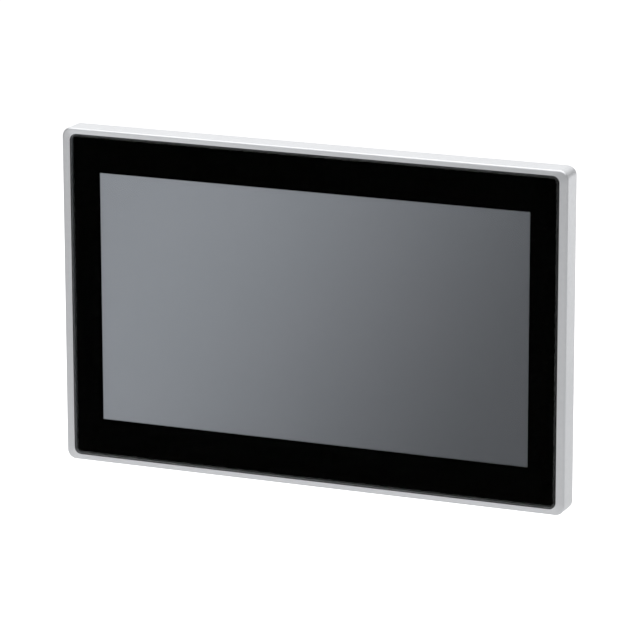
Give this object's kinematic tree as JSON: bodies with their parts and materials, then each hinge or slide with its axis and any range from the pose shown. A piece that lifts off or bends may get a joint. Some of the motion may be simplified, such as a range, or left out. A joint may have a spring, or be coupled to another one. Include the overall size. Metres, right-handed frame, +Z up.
{
  "type": "hmi touch panel",
  "caption": "Panel-mounted operator touch screen: black-bordered glass in a slim metal front frame, electronics housing behind, swing clamps that hold it in a door cut-out.",
  "frame": {"origin": "middle of the front frame's rear face, which seals on the front of the door", "axes": "the screen faces -Y, +Z is up, +X is to the right of someone facing the screen"},
  "size_m": [0.1816, 0.0452, 0.1168],
  "materials": {
    "bezel_aluminium": "satin anodised",
    "cover_glass": "polished",
    "black_print": "printed black",
    "clear_adhesive": "clear",
    "sensor_glass": "clear",
    "foam_tape": "closed-cell foam",
    "seal_rubber": "matt",
    "display_metal": "bright",
    "display_cell": "anti-glare",
    "light_guide": "diffuse",
    "flex_film": "amber polyimide",
    "zinc_plated_steel": "zinc plated",
    "plated_brass": "nickel plated",
    "housing_plastic": "fine texture",
    "label_film": "blank",
    "circuit_board": "solder mask",
    "chip_black": "moulded",
    "thermal_pad": "soft",
    "sink_aluminium": "black anodised",
    "capacitor_can": "can",
    "switch_body": "moulded",
    "switch_white": "moulded",
    "holder_plastic": "moulded",
    "cell_steel": "bright",
    "connector_shell": "nickel plated",
    "connector_plastic": "moulded green",
    "clamp_steel": "zinc plated",
    "clamp_brass": "plain",
    "clamp_zinc": "die-cast zinc"
  },
  "bodies": {
    "panel": {"backlight": "light_guide", "battery": "cell_steel", "battery_holder": "holder_plastic", "board_screws": "zinc_plated_steel", "border_film": "black_print", "capacitors": "capacitor_can", "card_socket": "connector_shell", "carrier_plate": "zinc_plated_steel", "clamp_ears": "zinc_plated_steel", "cover_glass": "cover_glass", "dip_switch": "switch_body", "earth_nut": "zinc_plated_steel", "earth_stud": "zinc_plated_steel", "front_bezel": "bezel_aluminium", "glass_tape": "foam_tape", "heat_sink": "sink_aluminium", "housing_screws": "zinc_plated_steel", "lcd_cell": "display_cell", "lcd_cushion": "foam_tape", "lcd_flex": "flex_film", "lcd_frame": "display_metal", "lcd_rear_tray": "display_metal", "lcd_support_strips": "foam_tape", "main_board": "circuit_board", "memory_chips": "chip_black", "network_jacks": "connector_shell", "optical_adhesive": "clear_adhesive", "panel_gasket": "seal_rubber", "plate_screws": "zinc_plated_steel", "power_header": "connector_plastic", "processor": "chip_black", "rating_plate": "label_film", "rear_housing": "housing_plastic", "reset_switch": "switch_body", "serial_jackscrews": "zinc_plated_steel", "serial_socket": "connector_shell", "standoffs": "plated_brass", "thermal_pad": "thermal_pad", "touch_controller": "circuit_board", "touch_flex": "flex_film", "touch_sensor": "sensor_glass", "usb_sockets": "connector_shell"},
    "screw_1": {"clamp_screw_1": "clamp_steel"},
    "nut_1": {"clamp_nut_1": "clamp_brass"},
    "lever_1": {"clamp_lever_1": "clamp_zinc"},
    "screw_2": {"clamp_screw_2": "clamp_steel"},
    "nut_2": {"clamp_nut_2": "clamp_brass"},
    "lever_2": {"clamp_lever_2": "clamp_zinc"},
    "screw_3": {"clamp_screw_3": "clamp_steel"},
    "nut_3": {"clamp_nut_3": "clamp_brass"},
    "lever_3": {"clamp_lever_3": "clamp_zinc"},
    "screw_4": {"clamp_screw_4": "clamp_steel"},
    "nut_4": {"clamp_nut_4": "clamp_brass"},
    "lever_4": {"clamp_lever_4": "clamp_zinc"},
    "service_door": {"service_door": "housing_plastic"},
    "card_door": {"card_door": "housing_plastic"},
    "card": {"storage_card": "holder_plastic"},
    "reset": {"reset_button": "switch_white"},
    "slider_1": {"dip_slider_1": "switch_white"},
    "slider_2": {"dip_slider_2": "switch_white"}
  },
  "joints": [
    {"name": "clamp_1_turn", "type": "hinge", "parent": "panel", "child": "screw_1", "pos_m": [0.07913, 0.01305, 0.02993], "axis": [0, -1, 0], "range_deg": [0, 3087]},
    {"name": "clamp_1_feed", "type": "slide", "parent": "panel", "child": "nut_1", "axis": [0, -1, 0], "range_m": [0, 0.006]},
    {"name": "clamp_1_swing", "type": "hinge", "parent": "nut_1", "child": "lever_1", "pos_m": [0.07913, 0.01305, 0.02993], "axis": [0, -1, 0], "range_deg": [0, 90]},
    {"name": "clamp_2_turn", "type": "hinge", "parent": "panel", "child": "screw_2", "pos_m": [0.07913, 0.01305, -0.02993], "axis": [0, -1, 0], "range_deg": [0, 3087]},
    {"name": "clamp_2_feed", "type": "slide", "parent": "panel", "child": "nut_2", "axis": [0, -1, 0], "range_m": [0, 0.006]},
    {"name": "clamp_2_swing", "type": "hinge", "parent": "nut_2", "child": "lever_2", "pos_m": [0.07913, 0.01305, -0.02993], "axis": [0, -1, 0], "range_deg": [0, 90]},
    {"name": "clamp_3_turn", "type": "hinge", "parent": "panel", "child": "screw_3", "pos_m": [-0.07913, 0.01305, -0.02993], "axis": [0, -1, 0], "range_deg": [0, 3087]},
    {"name": "clamp_3_feed", "type": "slide", "parent": "panel", "child": "nut_3", "axis": [0, -1, 0], "range_m": [0, 0.006]},
    {"name": "clamp_3_swing", "type": "hinge", "parent": "nut_3", "child": "lever_3", "pos_m": [-0.07913, 0.01305, -0.02993], "axis": [0, -1, 0], "range_deg": [0, 90]},
    {"name": "clamp_4_turn", "type": "hinge", "parent": "panel", "child": "screw_4", "pos_m": [-0.07913, 0.01305, 0.02993], "axis": [0, -1, 0], "range_deg": [0, 3087]},
    {"name": "clamp_4_feed", "type": "slide", "parent": "panel", "child": "nut_4", "axis": [0, -1, 0], "range_m": [0, 0.006]},
    {"name": "clamp_4_swing", "type": "hinge", "parent": "nut_4", "child": "lever_4", "pos_m": [-0.07913, 0.01305, 0.02993], "axis": [0, -1, 0], "range_deg": [0, 90]},
    {"name": "service_door_hinge", "type": "hinge", "parent": "panel", "child": "service_door", "pos_m": [0.036, 0.0345, 0.0311], "axis": [1, 0, 0], "range_deg": [0, 110]},
    {"name": "card_door_hinge", "type": "hinge", "parent": "panel", "child": "card_door", "pos_m": [-0.07602, 0.01885, 0.008], "axis": [0, 0, -1], "range_deg": [0, 105]},
    {"name": "card_slide", "type": "slide", "parent": "panel", "child": "card", "axis": [-1, 0, 0], "range_m": [0, 0.004]},
    {"name": "reset_press", "type": "slide", "parent": "panel", "child": "reset", "axis": [0, 0, 1], "range_m": [0, 0.0005], "stiffness_N_per_m": 600, "springref_m": -0.0005},
    {"name": "setting_1_slide", "type": "slide", "parent": "panel", "child": "slider_1", "axis": [0, 0, 1], "range_m": [0, 0.0018]},
    {"name": "setting_2_slide", "type": "slide", "parent": "panel", "child": "slider_2", "axis": [0, 0, 1], "range_m": [0, 0.0018]}
  ],
  "couplings": [
    {"joint": "clamp_1_turn", "follows": "clamp_1_feed", "rad_per_m": 8976},
    {"joint": "clamp_2_turn", "follows": "clamp_2_feed", "rad_per_m": 8976},
    {"joint": "clamp_3_turn", "follows": "clamp_3_feed", "rad_per_m": 8976},
    {"joint": "clamp_4_turn", "follows": "clamp_4_feed", "rad_per_m": 8976}
  ]
}
